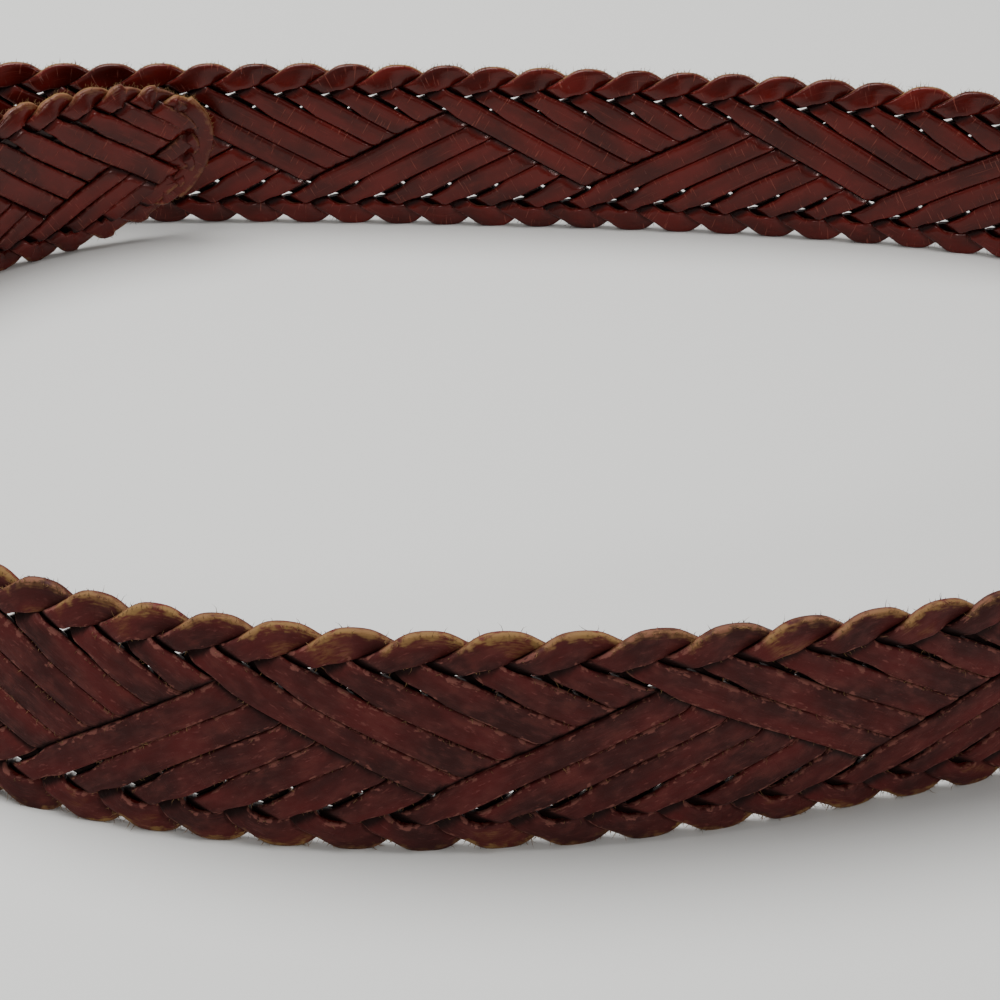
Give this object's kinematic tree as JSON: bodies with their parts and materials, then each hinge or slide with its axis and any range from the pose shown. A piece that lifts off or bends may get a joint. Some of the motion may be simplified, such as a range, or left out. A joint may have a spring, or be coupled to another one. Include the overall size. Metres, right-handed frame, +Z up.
{
  "type": "braided leather belt",
  "caption": "Flat hand-braided leather belt with scalloped edges, a rounded tip and a plain frame buckle, standing on edge in an open loop.",
  "frame": {"origin": "middle of the belt's footprint, on the surface that it stands on", "axes": "+Z up across the strap's width, +X along the loop's long side to the right, +Y from the front strand to the back strand"},
  "size_m": [0.3896, 0.2326, 0.047],
  "materials": {
    "braided_leather": "oxblood, worn matt outside, polished inside",
    "buckle_brass": "satin, lightly worn"
  },
  "bodies": {
    "root": {"braided_strap": "braided_leather", "buckle": "buckle_brass"}
  },
  "joints": []
}
